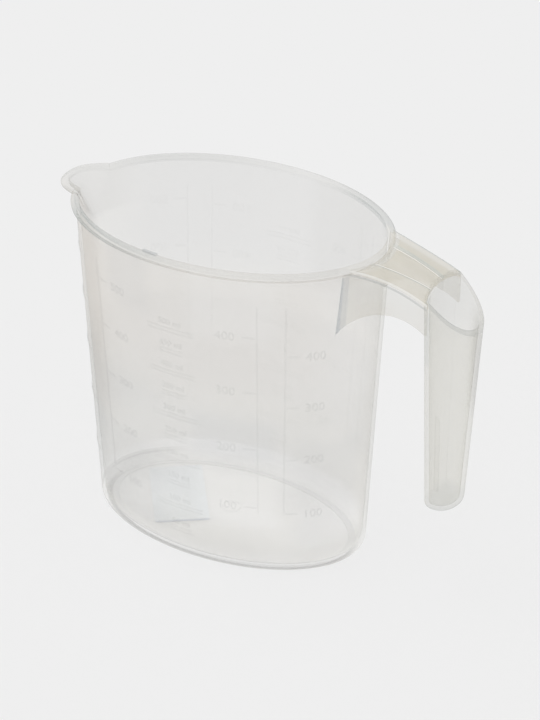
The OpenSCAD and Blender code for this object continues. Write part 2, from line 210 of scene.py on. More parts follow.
def translucent(name, colour, stain, alpha, roughness, zones=None, edge=0.42, shade_from=-20.0):
    """Natural plastic: clear straight through, milkier along its edges and in faint clouds.

    Each zone is (mask, colour, milkiness added). The edges are tinted above the height shade_from."""
    m = Material(name, colour, roughness, IOR=PLASTIC_IOR)
    where = m.place()
    patches = m.noise(26.0, 4.0, where, 0.6).ramp(0.42, 0.68)
    tint = m.blend(patches, colour, stain)
    facing = m.node("ShaderNodeLayerWeight", "Facing", None, {"Blend": 0.5})
    milk = facing ** 4.0 * edge + alpha + (m.noise(22.0, 3.0, where) - 0.5) * CLOUDS
    if zones:
        x, y, z = (m.split(where, axis) * MM_PER_M for axis in "XYZ")
        for mask, zone_colour, more in zones(x, y, z, patches):
            tint = m.blend(mask, tint, zone_colour)
            milk = milk + mask * more
    height = m.split(where, "Z") * MM_PER_M
    edge_on = facing ** 5.0 * 0.75 * height.ramp(shade_from, shade_from + 12.0)
    tint = m.blend(edge_on, tint, EDGE_SHADE)
    path = m.nodes.new("ShaderNodeLightPath")
    passing = Shade(m, path.outputs["Is Shadow Ray"]) + Shade(m, path.outputs["Is Diffuse Ray"])
    m.set("Base Color", tint)
    m.set("Alpha", milk * (1.0 - passing * LIGHT_THROUGH))
    m.bump(m.noise(60.0, 2.0, where), 0.00025, 0.08)
    return m


def band(value, low, high, soft):
    """1 between low and high, fading out over a soft distance."""
    return value.ramp(low - soft, low) * value.fall(high, high + soft)


# The handle's sizes: the arcs of its back and of the opening below, the grip, and the bridge between
CROWN_X, CROWN_R, CROWN_Z = 44.9, 76.8, 43.9
ARCH_X, ARCH_R, ARCH_Z = 65.5, 20.0, 86.2
GRIP_X, GRIP_LEN, GRIP_HALF_W, GRIP_BOW, GRIP_LEAN = 76.3, 15.8, 13.0, 2.3, 2.0
GRIP_END_LEN, GRIP_END_HALF_W, GRIP_END_Z, GRIP_END_R, GRIP_T = 9.8, 8.2, 32.0, 3.6, 1.5
DECK_HALF_W, FLARE_X, FLARE_R, DECK_T, CHANNEL_D = 13.1, 72.0, 65.0, 1.6, 0.5
BRIDGE_FROM, BRIDGE_TO, CHANNEL_FROM, CHANNEL_TO = 43.6, 77.8, 9.0, 4.4
WEB_T, KNEE, INNER_KNEE = 1.3, 1.2, 2.0    # the webs keep their shape above the knees
MOUTH_TURN = radians(42.5)    # the slope of the grip's open mouth


def deck_half_w(x):
    """Half the deck's width at x, where it flares out to the rim."""
    return DECK_HALF_W + FLARE_R - (FLARE_R ** 2 - (FLARE_X - x).at_least(0.0) ** 2.0) ** 0.5


def body_zones(x, y, z, _patches):
    """Painted light and shade on the body: the wall's darker middle, the pale floor and its corner with a
    painted highlight, a painted shadow along the foot's edge, and the rim's painted lines of shade and
    highlight, which stop where the bridge's deck runs over it."""
    deck = x.ramp(40.0, 44.0) * (abs(y) - deck_half_w(x)).fall(-1.0, 0.0)
    left = x.ramp(-45.0, 15.0, 1.0, 0.3) * y.fall(-8.0, 8.0, 0.35)
    line = (1.0 - deck) * left * x.ramp(-54.0, -44.0, 0.45, 1.0)
    crease = y + 9.9 - (SEAT - z) * 0.66
    floor = band(z, 2.25, 3.6, 0.3)
    near = y.fall(-10.0, 0.0)
    foot_rx, foot_ry = outer_rx(CORNER) - CORNER - 0.3, outer_ry(CORNER) - CORNER - 0.3
    outside = ((x / foot_rx) ** 2.0 + (y / foot_ry) ** 2.0).ramp(0.99, 1.0)
    return (
        # the whole wall, in painted shade and light: its darker middle, darker at the spout's end and lighter
        # at the handle's end, then both its sides
        (band(z, 34.0, 62.0, 14.0) * 0.5, (0.60, 0.60, 0.61), 0.085),
        (x.fall(-50.0, -16.0) * y.fall(-2.0, 4.0) * z.ramp(10.0, 60.0) * z.fall(114.0, 117.0),
            (0.61, 0.57, 0.52), 0.08),
        (x.ramp(18.0, 46.0) * y.fall(-6.0, 2.0) * z.ramp(50.0, 75.0), (0.76, 0.73, 0.66), -0.015),
        (x.ramp(5.0, 40.0) * y.ramp(2.0, 12.0) * z.ramp(70.0, 90.0), (0.70, 0.69, 0.66), 0.03),
        # a painted shadow low on the wall at the handle's end, by the foot
        (x.ramp(28.0, 46.0) * y.fall(0.0, 16.0) * z.fall(2.0, 14.0), (0.48, 0.48, 0.47), 0.10),
        (x.fall(-56.0, -46.0) * band(z, 106.0, 118.0, 4.0), (0.68, 0.66, 0.62), 0.06),
        (y.ramp(5.0, 25.0) * z.ramp(70.0, 90.0), (0.70, 0.69, 0.665), 0.03),
        # painted shade in the crease beside the spout
        (band(crease, -0.5, 0.5, 1.0) * x.fall(-50.0, -46.0) * band(z, 110.0, 117.0, 4.0),
            (0.42, 0.40, 0.37), 0.12),
        # behind the handle
        (x.ramp(40.0, 53.0) * z.ramp(8.0, 20.0) * z.fall(112.0, 116.0), (0.80, 0.77, 0.71), -0.05),
        # the near side, from its warm upper half down, in lighter and darker patches of painted light and
        # shade, and a darker patch of the far side
        (z.ramp(60.0, 90.0) * near, (0.775, 0.705, 0.625), 0.0),
        (band(x, -24.0, -14.0, 8.0) * near * band(z, 102.0, 116.0, 10.0), (0.66, 0.61, 0.56), 0.025),
        (band(x, 10.0, 28.0, 10.0) * near * band(z, 100.0, 114.0, 10.0), (0.85, 0.79, 0.71), -0.03),
        (x.fall(-18.0, -4.0) * near * band(z, 12.0, 40.0, 8.0), (0.63, 0.62, 0.60), 0.03),
        (band(x, 8.0, 28.0, 8.0) * near * band(z, 22.0, 38.0, 6.0), (0.78, 0.76, 0.70), -0.05),
        (band(x, 8.0, 28.0, 8.0) * near * band(z, 50.0, 60.0, 6.0), (0.62, 0.62, 0.61), 0.02),
        (x.ramp(32.0, 42.0) * near * band(z, 14.0, 50.0, 8.0), (0.63, 0.62, 0.60), 0.02),
        (band(x, 16.0, 34.0, 10.0) * y.ramp(2.0, 12.0) * z.ramp(70.0, 90.0), (0.68, 0.67, 0.645), 0.03),
        # painted light on the pale bottom, a painted highlight on the crescent between floor and far wall, and
        # the floor, painted lighter from its middle to the far side and darker towards the spout and the near
        # side
        (z.fall(4.0, 10.0), (0.93, 0.92, 0.88), 0.0),
        (band(z, 3.0, 7.0, 1.2) * y.ramp(8.0, 26.0) * x.fall(-10.0, 25.0, 0.35), (0.98, 0.97, 0.94), -0.07),
        (floor * y.ramp(-26.0, 10.0), (1.0, 0.985, 0.95), -0.02),
        (floor * x.fall(-46.0, -26.0), (0.60, 0.60, 0.58), 0.19),
        (floor * y.fall(-26.0, 0.0), (0.62, 0.61, 0.59), 0.14),
        # a painted contact shadow along the foot's edge
        (z.fall(0.05, 0.75) * outside * y.fall(-8.0, 12.0, 0.1), (0.36, 0.36, 0.35), 0.36),
        # the rim's painted shade lines and its painted highlight band, from below its seat up to its crest,
        # and the deck that covers them
        (band(z, 118.55, 119.3, 0.15) * line, (0.36, 0.39, 0.38), 0.30),
        (band(z, 119.5, 120.6, 0.2) * (1.0 - left) * (1.0 - deck), (0.88, 0.87, 0.83), 0.08),
        (band(z, 119.3, 120.8, 0.2) * line, (0.52, 0.55, 0.52), 0.08),
        (band(z, 118.5, 120.3, 0.15) * x.ramp(12.0, 40.0) * y.ramp(4.0, 12.0) * (1.0 - deck),
            (0.45, 0.48, 0.47), 0.14),
        (band(z, 120.75, 121.2, 0.1) * line, (0.46, 0.49, 0.48), 0.24),
        (z.ramp(118.3, 118.6) * deck, (0.76, 0.72, 0.62), 0.0))


def bridge_zones(x, y, z, patches):
    """The tan deck, with painted highlights and painted shade lines along its edges and its channel, and the
    dark wedge where the near web runs out into the wall."""
    # how far a place is outside the wall and outside the rim, in millimetres or nearly so
    off_wall = (((x / 55.3) ** 2.0 + (abs(y) / 38.4) ** 2.0) ** 0.5 - 1.0) * 50.0
    wedge = (off_wall - (z - 97.0) * 0.03).fall(-0.1, 0.1) * y.fall(-14.0, -12.5)
    radius = ((x - CROWN_X) ** 2.0 + (z - CROWN_Z) ** 2.0) ** 0.5 - CROWN_R
    off_rim = (((x / 57.3) ** 2.0 + (y / 40.6) ** 2.0) ** 0.5 - 1.0) * 50.0
    deck = radius.ramp(-1.9, -1.6) * off_rim.ramp(0.2, 1.6)
    top = radius.ramp(-0.75, -0.6)
    edge = abs(y) - deck_half_w(x)
    step = abs(y) - (CHANNEL_FROM
        + (x - BRIDGE_FROM) * (CHANNEL_TO - CHANNEL_FROM) / (BRIDGE_TO - BRIDGE_FROM))
    near = y.fall(-1.0, 1.0)
    return (
        # the wedge
        (wedge * z.fall(117.2, 117.8), (0.36, 0.41, 0.45), 0.09),
        # the deck and its stains
        (deck * edge.fall(-0.9, -0.5), (0.73, 0.69, 0.59), 0.26),
        (deck * patches * edge.fall(-0.9, -0.5), (0.70, 0.635, 0.48), 0.02),
        # a painted highlight along the deck's near edge, painted shade along its far edge and a painted shade
        # line below the near one
        (top * edge.ramp(-0.75, -0.55) * near, (0.97, 0.96, 0.92), 0.30),
        (top * edge.ramp(-1.5, -1.1) * (1.0 - near), (0.55, 0.58, 0.54), 0.16),
        (band(radius, -1.9, -1.2, 0.15) * edge.ramp(-0.3, -0.1) * near, (0.40, 0.42, 0.40), 0.20),
        # a painted shade band and a painted highlight line at the steps down into the channel
        (top * band(step, -0.5, 0.5, 0.2), (0.58, 0.61, 0.56), 0.10),
        (top * band(step, -1.0, -0.7, 0.1), (0.97, 0.95, 0.90), 0.28))


def grip_zones(x, y, z, _patches):
    """A painted shade line along the lip of the open mouth, the shade by the web's end, painted shade along
    the far edge, the upper far side and the closed end."""
    below_mouth = (x - 77.2) * sin(MOUTH_TURN) + (z - 113.7) * cos(MOUTH_TURN)
    corner = y.fall(-11.5, -9.5) * x.fall(78.0, 79.5) * band(z, 92.0, 108.0, 4.0)
    far_edge = ((x - 77.0) * 0.878 + y * 0.478).ramp(9.5, 12.5) * band(z, 72.0, 98.0, 8.0)
    return (
        (below_mouth.ramp(-0.35, -0.15), (0.42, 0.44, 0.41), 0.16),
        (corner, (0.50, 0.53, 0.50), 0.10),
        (far_edge, (0.55, 0.53, 0.49), 0.12),
        (z.ramp(86.0, 104.0) * y.ramp(-6.0, 4.0), (0.66, 0.65, 0.60), 0.05),
        (z.fall(33.0, 37.0), (0.55, 0.56, 0.53), 0.10))


# The raised marks and figures are painted grey, standing in for the shade their raised edges catch
MARK_GREY = (0.32, 0.33, 0.32), (0.30, 0.31, 0.30)
body_plastic = translucent("natural_plastic", (0.745, 0.72, 0.645), (0.725, 0.70, 0.63), 0.125, 0.24,
    body_zones, 0.34, shade_from=2.0)
bridge_plastic = translucent("yellowed_plastic", (0.69, 0.67, 0.60), (0.64, 0.59, 0.47), 0.17, 0.22,
    bridge_zones, 0.34)
grip_plastic = translucent("grip_plastic", (0.705, 0.685, 0.59), (0.685, 0.66, 0.565), 0.13, 0.24, grip_zones)
mark_plastic = translucent("raised_mark_plastic", *MARK_GREY, 0.026, 0.3, edge=0.12)
number_plastic = translucent("raised_number_plastic", *MARK_GREY, 0.045, 0.3, edge=0.12)
far_mark_plastic = translucent("far_mark_plastic", *MARK_GREY, 0.014, 0.3, edge=0.06)
rib_plastic = translucent("rib_plastic", (0.60, 0.60, 0.55), (0.60, 0.58, 0.50), 0.05, 0.24)
# a darker grey plastic for the rim's nick
dark_nick_plastic = translucent("dark_grey_plastic", (0.33, 0.38, 0.40), (0.25, 0.29, 0.31), 0.15, 0.5)

# The sticker lies turned under the floor, off to the spout's side
LABEL_X, LABEL_Z, LABEL_L, LABEL_W, LABEL_T = -22.0, 0.86, 35.0, 19.5, 0.06
LABEL_TURN = radians(55)


def sticker_paper():
    """White paper, with a painted shadow along its near edge."""
    m = Material("sticker_paper", (0.92, 0.96, 0.98), 0.75)
    fibre = m.noise(900.0, 4.0)
    x, y = (m.split(m.place(), axis) * MM_PER_M for axis in "XY")
    # a painted shadow along the label's near edge
    near_edge_shadow = ((x - LABEL_X) * cos(LABEL_TURN) - y * sin(LABEL_TURN)).ramp(16.2, 17.0)
    white = m.blend(fibre, (0.87, 0.91, 0.95), (0.93, 0.96, 0.99))
    m.set("Base Color", m.blend(near_edge_shadow, white, (0.60, 0.64, 0.74)))
    m.bump(fibre, 0.00005, 0.5)
    return m


paper = sticker_paper()


# Modelling by hand


def start_piece(obj, name):
    obj.name = name
    obj.data.name = name
    return obj


def edit(obj):
    bpy.ops.object.select_all(action="DESELECT")
    obj.select_set(True)
    bpy.context.view_layer.objects.active = obj
    bpy.ops.object.mode_set(mode="EDIT")


def leave_edit():
    bpy.ops.object.mode_set(mode="OBJECT")


def pick(obj, wanted):
    """Selects the vertices whose place, in millimetres, is wanted."""
    mesh = bmesh.from_edit_mesh(obj.data)
    bpy.ops.mesh.select_mode(type="VERT")
    bpy.ops.mesh.select_all(action="DESELECT")
    for vert in mesh.verts:
        if wanted(vert.co / MM):
            vert.select = True
    mesh.select_flush(True)
    bmesh.update_edit_mesh(obj.data)


def keep_picked(obj, wanted):
    """Narrows the selection to the vertices that are wanted."""
    mesh = bmesh.from_edit_mesh(obj.data)
    for vert in mesh.verts:
        if vert.select and not wanted(vert.co / MM):
            vert.select = False
    mesh.select_flush(False)
    bmesh.update_edit_mesh(obj.data)


def select_border():
    bpy.ops.mesh.select_mode(type="EDGE")
    bpy.ops.mesh.select_all(action="DESELECT")
    bpy.ops.mesh.select_non_manifold(extend=False, use_wire=True, use_boundary=True,
        use_multi_face=False, use_non_contiguous=False, use_verts=False)


def shift(x=0.0, y=0.0, z=0.0):
    bpy.ops.transform.translate(value=(x * MM, y * MM, z * MM))


def stretch(x=1.0, y=1.0, z=1.0, about=ORIGIN):
    bpy.ops.transform.resize(value=(x, y, z), center_override=tuple(v * MM for v in about))


def extrude(x=0.0, y=0.0, z=0.0):
    bpy.ops.mesh.extrude_region_move(TRANSFORM_OT_translate={"value": (x * MM, y * MM, z * MM)})


def apply(obj, kind, **settings):
    """Adds a modifier and applies it at once."""
    modifier = obj.modifiers.new(kind.lower(), kind)
    for name, value in settings.items():
        setattr(modifier, name, value)
    bpy.ops.object.select_all(action="DESELECT")
    obj.select_set(True)
    bpy.context.view_layer.objects.active = obj
    bpy.ops.object.modifier_apply(modifier=modifier.name)


def face_outward():
    bpy.ops.mesh.select_all(action="SELECT")
    bpy.ops.mesh.normals_make_consistent(inside=False)


def smooth(obj, angle):
    bpy.ops.object.select_all(action="DESELECT")
    obj.select_set(True)
    bpy.context.view_layer.objects.active = obj
    bpy.ops.object.shade_smooth_by_angle(angle=radians(angle))


def dress(obj, material, slot, *nodes):
    """Gives a finished piece its material and says which nodes it stands for."""
    obj.data.materials.clear()
    obj.data.materials.append(material.data)
    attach(obj, "root")
    if nodes:
        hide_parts(*nodes)


# The oval body, as rings of points from the middle of its underside out, up, over the rim and back inside

COLUMNS = 720    # points in a ring, so many that the edges seen through one another stay smooth


def arc_rings(centre_inset, centre_z, r, first, last, count):
    """Rings of a rounded corner, as (inset, height), by angle from straight down."""
    angles = [radians(first + (last - first) * i / count) for i in range(count + 1)]
    return [(centre_inset - r * sin(a), centre_z - r * cos(a)) for a in angles]


def foot_size(inset, z):
    """A ring of the foot or the floor, by its distance in from the wall's outside above the rounded corner."""
    return outer_rx(CORNER) - inset, outer_ry(CORNER) - inset, z


def wall_size(inset, z):
    """A ring of the wall, by its distance in from the outside at its own height."""
    return outer_rx(z) - inset, outer_ry(z) - inset, z


def rim_size(out, z):
    """A ring of the rim, by its distance out from the rim's inner edge."""
    return outer_rx(SEAT) - WALL + out, outer_ry(SEAT) - WALL + out, z


# The rim's section: distance out from its inner edge, height above its seat
RIM_PROFILE = ((1.26, -0.06), (1.42, 0.0), (2.5, 0.0), (2.74, 0.06), (2.8, 0.25), (2.8, 0.66), (2.72, 1.0),
    (2.52, 1.3), (2.2, 1.6), (1.8, 1.86), (1.35, 2.06), (0.95, 2.17), (0.6, 2.2), (0.32, 2.12), (0.12, 1.93),
    (0.03, 1.66), (0.0, 1.3), (0.0, 0.7))


def body_rings():
    inner_foot = CORNER + FOOT_W
    floor_rx, floor_ry, _ = foot_size(inner_foot + 0.35, 0)
    shares = (0.06, 0.25, 0.5, 0.75, 0.92, 1.0)
    rings = [(floor_rx * share, floor_ry * share, FOOT_RISE) for share in shares]
    rings += [foot_size(i, z) for i, z in ((inner_foot + 0.1, 0.84), (inner_foot, 0.7), (inner_foot, 0.2),
        (inner_foot - 0.06, 0.06), (inner_foot - 0.2, 0.0), (CORNER + 1.4, 0.0))]
    rings += [foot_size(i, z) for i, z in arc_rings(CORNER, CORNER, CORNER, 0, 90, 9)]
    levels = [7, 14, 22, 32, 44, 56, 68, 80, 91, 99] + [103 + i * 0.8 for i in range(19)]
    rings += [wall_size(0.0, z) for z in levels + [SEAT - 0.25]]
    rings += [rim_size(out, SEAT + up) for out, up in RIM_PROFILE]
    rings += [wall_size(WALL, z) for z in [SEAT] + levels[::-1]]
    inner = CORNER - WALL
    rings += [foot_size(i, z) for i, z in arc_rings(CORNER, FLOOR_Z + inner, inner, 90, 0, 7)]
    rings += [(floor_rx * share, floor_ry * share, FLOOR_Z) for share in shares[::-1]]
    return rings


def make_body():
    rings = body_rings()
    rx, ry, z = rings[0]
    bpy.ops.mesh.primitive_circle_add(vertices=COLUMNS, radius=rx * MM, fill_type="TRIFAN")
    body = start_piece(bpy.context.object, "body")
    edit(body)
    bpy.ops.mesh.select_all(action="SELECT")
    stretch(y=ry / rx)
    shift(z=z)
    select_border()
    for next_rx, next_ry, next_z in rings[1:]:
        extrude(z=next_z - z)
        stretch(next_rx / rx, next_ry / ry)
        rx, ry, z = next_rx, next_ry, next_z
    bpy.ops.mesh.merge(type="CENTER")
    face_outward()
    leave_edit()
    return body


SPOUT_TURN = radians(15)    # half of the wall's turn that opens into the spout
SPOUT_REACH, SPOUT_DEPTH, LIP_DROP, LIP_CURVE, SHEET_CURVE = 7.4, 15.0, 0.5, 2.7, 1.4
NOTCH_X = -(outer_rx(SEAT) - WALL) * cos(SPOUT_TURN)
NOTCH_Y = (outer_ry(SEAT) - WALL) * sin(SPOUT_TURN)
NOTCH_REACH = 5.0    # the rim and the lip are trimmed this far from a notch
LIP_L = SPOUT_REACH + outer_rx(SEAT) - WALL + NOTCH_X
HAIR = 0.001    # a share of the spout's turn, to tell the columns at the notches from the next ones
RIM_FOOT = SEAT - 0.3    # everything above it belongs to the rim or the lip


def lip_point(t):
    """The lip's inner edge, from one notch, at t = -1, over its tip to the other, at 1."""
    return Vector((NOTCH_X - LIP_L * (1 - abs(t) ** LIP_CURVE), -NOTCH_Y * t, SEAT - LIP_DROP * (1 - t * t)))


def lip_normal(t):
    """The way straight out from the lip."""
    lean = (1 if t > 0 else -1) * LIP_L * LIP_CURVE * abs(t) ** (LIP_CURVE - 1)
    return Vector((-NOTCH_Y, -lean, 0)).normalized()


def pull_spout(body):
    """Draws the wall and the rim out into the spout, which is a rounded V from above."""
    for vert in body.data.vertices:
        place = vert.co / MM
        z = place.z
        low = min(z, SEAT)
        if z < SEAT - SPOUT_DEPTH or place.x > 0:
            continue
        a = atan2(place.y / outer_ry(low), place.x / outer_rx(low)) % (2 * pi)
        t = (a - pi) / SPOUT_TURN
        if abs(t) > 1.0 + HAIR:
            continue
        t = max(-1.0, min(1.0, t))
        outward = Vector((cos(a), sin(a), 0))
        inner = on_wall(a, low, WALL)
        out = hypot(place.x, place.y) - hypot(inner.x, inner.y)
        edge = lip_normal(t)
        if abs(t) > 1.0 - HAIR:
            joint = (outward + edge).normalized()
            edge = joint / joint.dot(outward)
        foot_z = SEAT - SPOUT_DEPTH * (1 - abs(t))
        if z <= foot_z:
            continue
        share = 1.0 if z >= SEAT or foot_z >= SEAT else (z - foot_z) / (SEAT - foot_z)
        foot = on_wall(a, foot_z, WALL)
        lip = lip_point(t)
        along = share ** SHEET_CURVE
        side = outward * (1 - share) + edge * share
        if share < 1:
            side.normalize()
        new = Vector((foot.x + (lip.x - foot.x) * along, foot.y + (lip.y - foot.y) * along,
            foot.z + (lip.z - foot.z) * share + max(0.0, z - SEAT)))
        vert.co = (new + side * out) * MM


def rim_beside_spout(body, side):
    """The rim's points, by number, from one notch on to the handle."""
    def turn(place):
        return (atan2(place.y / outer_ry(SEAT), place.x / outer_rx(SEAT)) % (2 * pi) - pi) * side

    return {vert.index for vert in body.data.vertices if vert.co.x < 0 and vert.co.z > RIM_FOOT * MM
        and turn(vert.co) > SPOUT_TURN * (1.0 + HAIR)}


def mitre_notch(body, side, rim):
    """Keeps the rim and the lip from running through each other at a notch beside the spout."""
    notch = Vector((NOTCH_X, -NOTCH_Y * side, 0))
    outward = Vector((cos(pi + SPOUT_TURN * side), sin(pi + SPOUT_TURN * side), 0))
    seam = (outward + lip_normal(side)).normalized()
    across = Vector((-seam.y, seam.x, 0)) * side    # from the lip to the rim
    for vert in body.data.vertices:
        place = vert.co / MM
        from_notch = Vector((place.x, place.y, 0)) - notch
        if place.z < RIM_FOOT or from_notch.length > NOTCH_REACH:
            continue
        past = from_notch.dot(across)
        if (past < 0) == (vert.index in rim):
            vert.co = (place - across * past) * MM


body = make_body()
rims = {side: rim_beside_spout(body, side) for side in (-1, 1)}
pull_spout(body)
for side, rim in rims.items():
    mitre_notch(body, side, rim)
smooth(body, 35)
dress(body, body_plastic, "clear_plastic", "wall", "bottom_corner", "foot_ring", "floor_panel", "rim", "spout",
    "spout_lip")

# The handle: heights and widths along it, by the distance x from the jug's middle


def crown_z(x):
    """The top of the bridge."""
    return CROWN_Z + sqrt(CROWN_R ** 2 - (x - CROWN_X) ** 2)


def arch_z(x):
    """The foot of the bridge's webs, over the opening."""
    return ARCH_Z + sqrt(max(0.0, ARCH_R ** 2 - (x - ARCH_X) ** 2))


def bridge_half_w(x):
    if x >= FLARE_X:
        return DECK_HALF_W
    return DECK_HALF_W + FLARE_R - sqrt(FLARE_R ** 2 - (FLARE_X - x) ** 2)


def channel_half_w(x):
    return CHANNEL_FROM + (CHANNEL_TO - CHANNEL_FROM) * (x - BRIDGE_FROM) / (BRIDGE_TO - BRIDGE_FROM)


def draw_path(name, points, closed=False):
    """A line drawn point after point, starting from a plane merged to one corner."""
    bpy.ops.mesh.primitive_plane_add(size=MM)
    path = start_piece(bpy.context.object, name)
    edit(path)
    bpy.ops.mesh.select_all(action="SELECT")
    bpy.ops.mesh.merge(type="CENTER")
    bpy.ops.mesh.select_mode(type="VERT")
    bpy.ops.mesh.select_all(action="SELECT")
    shift(*points[0])
    for last, point in zip(points, points[1:]):
        extrude(*(b - a for a, b in zip(last, point)))
    if closed:
        ends = Vector(points[0]), Vector(points[-1])
        pick(path, lambda p: any((p - end).length < CLOSE for end in ends))
        bpy.ops.mesh.edge_face_add()
    return path


def oval_cutter(name, rings):
    """A solid oval block to cut the bridge with, from rings of (rx, ry, z)."""
    rx, ry, z = rings[0]
    bpy.ops.mesh.primitive_circle_add(vertices=COLUMNS // 3, radius=rx * MM, fill_type="NGON")
    block = start_piece(bpy.context.object, name)
    edit(block)
    bpy.ops.mesh.select_all(action="SELECT")
    stretch(y=ry / rx)
    shift(z=z)
    for next_rx, next_ry, next_z in rings[1:]:
        extrude(z=next_z - z)
        stretch(next_rx / rx, next_ry / ry)
        rx, ry, z = next_rx, next_ry, next_z
    face_outward()
    leave_edit()
    return block


def cut(obj, *blocks):
    for block in blocks:
        apply(obj, "BOOLEAN", operation="DIFFERENCE", solver="EXACT", object=block)


def remove(*objs):
    for obj in objs:
        bpy.data.meshes.remove(obj.data)


GRIP_TURNS = 14    # steps round a quarter of the grip


def grip_outline():
    """The grip's section as shares of its length and half width, from the nose round by the near side."""
    quarter = [radians(90 * i / GRIP_TURNS) for i in range(GRIP_TURNS, -1, -1)]
    near = [(sin(a) ** 0.8, -(cos(a) ** 1.03)) for a in quarter]
    face = [(None, i / 8) for i in range(-7, 8)]
    return near + face + [(x, -y) for x, y in near[::-1][:-1]]


def grip_sizes(z, inset=0.0):
    """The grip's section at a height: its face's place, its length, its half width and its face's bow."""
    share = (JUG_H - z) / (JUG_H - GRIP_END_Z)
    half_w = GRIP_HALF_W + (GRIP_END_HALF_W - GRIP_HALF_W) * share - inset
    length = GRIP_LEN + (GRIP_END_LEN - GRIP_LEN) * share - 2 * inset
    return GRIP_X + GRIP_LEAN * share + inset, length, half_w, GRIP_BOW * (1 - 0.2 * share)


def make_grip_block(name, inset=0.0):
    """The grip's outside from its top down to the rounded end."""
    face_x, length, half_w, bow = grip_sizes(JUG_H, inset)
    points = [(face_x + length * x, half_w * y, JUG_H) if x is not None
        else (face_x - bow * (1 - y * y), half_w * y, JUG_H) for x, y in grip_outline()]
    grip = draw_path(name, points, closed=True)
    pick(grip, lambda p: abs(p.x - face_x) < 0.01 and abs(abs(p.y) - half_w) < 0.01)
    bpy.ops.mesh.bevel(offset=1.6 * MM, segments=4, affect="VERTICES")
    bpy.ops.mesh.select_all(action="SELECT")
    heights = [116, 108, 100, 92, 84, 76, 68, 60, 52, 44]
    levels = [(h, inset) for h in heights]
    levels += [(GRIP_END_Z + GRIP_END_R * (1 - sin(radians(a))), inset + GRIP_END_R * (1 - cos(radians(a))))
        for a in range(0, 91, 15)]
    z = JUG_H
    for next_z, next_inset in levels:
        next_x, next_length, next_w, next_bow = grip_sizes(next_z, next_inset)
        extrude(next_x - face_x, 0, next_z - z)
        ratio = next_length / length
        stretch(ratio, next_w / half_w, 1, (next_x, 0, next_z))
        keep_picked(grip, lambda p: p.x < next_x)
        stretch(next_bow / (bow * ratio), 1, 1, (next_x, 0, next_z))
        pick(grip, lambda p: abs(p.z - next_z) < CLOSE)
        face_x, length, half_w, bow, z = next_x, next_length, next_w, next_bow, next_z
    bpy.ops.mesh.edge_face_add()
    bpy.ops.mesh.inset(thickness=0.4 * MM)
    face_outward()
    leave_edit()
    return grip


def cap(obj):
    """Closes the open top of a block."""
    edit(obj)
    select_border()
    bpy.ops.mesh.edge_face_add()
    face_outward()
    leave_edit()


def trim(obj, place, normal):
    """Cuts off what lies beyond a plane and closes the cut."""
    edit(obj)
    bpy.ops.mesh.select_all(action="SELECT")
    bpy.ops.mesh.bisect(plane_co=tuple(v * MM for v in place), plane_no=normal, use_fill=True,
        clear_outer=True)
    leave_edit()


def round_cut(obj, place, normal, width):
    """Bevels the edges round a flat cut."""
    edit(obj)
    mesh = bmesh.from_edit_mesh(obj.data)
    bpy.ops.mesh.select_mode(type="FACE")
    bpy.ops.mesh.select_all(action="DESELECT")
    flat = Vector(normal).normalized()
    for face in mesh.faces:
        centre = face.calc_center_median() / MM - Vector(place)
        face.select = abs(face.normal.dot(flat)) > 0.999 and abs(centre.dot(flat)) < 0.02
    bmesh.update_edit_mesh(obj.data)
    bpy.ops.mesh.region_to_loop()
    bpy.ops.mesh.bevel(offset=width * MM, segments=3, affect="EDGES", clamp_overlap=True)
    leave_edit()


def make_grip():
    grip = make_grip_block("grip")
    apply(grip, "SOLIDIFY", thickness=GRIP_T * MM, offset=-1.0, use_even_offset=True,
        use_quality_normals=True)
    top = (GRIP_X + 0.9, 0.0, crown_z(GRIP_X) - 0.2)
    slope = (sin(MOUTH_TURN), 0.0, cos(MOUTH_TURN))
    trim(grip, top, slope)
    lean = Vector((GRIP_X - CROWN_X, 0.0, crown_z(GRIP_X) - CROWN_Z)).normalized()
    trim(grip, (GRIP_X, 0.0, crown_z(GRIP_X)), lean)
    round_cut(grip, top, slope, 0.4)
    return grip


def bridge_section(x):
    """The bridge's closed section across its width at x: outside from the near web's foot over the deck to the
    far web's foot, then back along the inside."""
    half, channel, top, foot = bridge_half_w(x), channel_half_w(x), crown_z(x), arch_z(x)
    knee, inner_knee = top - KNEE, top - INNER_KNEE
    outside = [(-half, foot + (knee - foot) * i / 5) for i in range(6)]
    outside += [(-half + 0.14, top - 0.62), (-half + 0.5, top - 0.2), (-half + 1.1, top)]
    outside += [(-channel - 0.45, top), (-channel - 0.15, top - 0.1), (-channel + 0.15, top - CHANNEL_D + 0.1),
        (-channel + 0.45, top - CHANNEL_D)]
    inside = [(-half + WEB_T, foot + (inner_knee - foot) * i / 5) for i in range(6)]
    inside += [(-half + WEB_T + 0.15, top - DECK_T - 0.15), (-half + WEB_T + 0.5, top - DECK_T)]
    return (outside + [(0.0, top - CHANNEL_D)] + [(-y, z) for y, z in outside[::-1]]
        + [(-y, z) for y, z in inside] + inside[::-1])


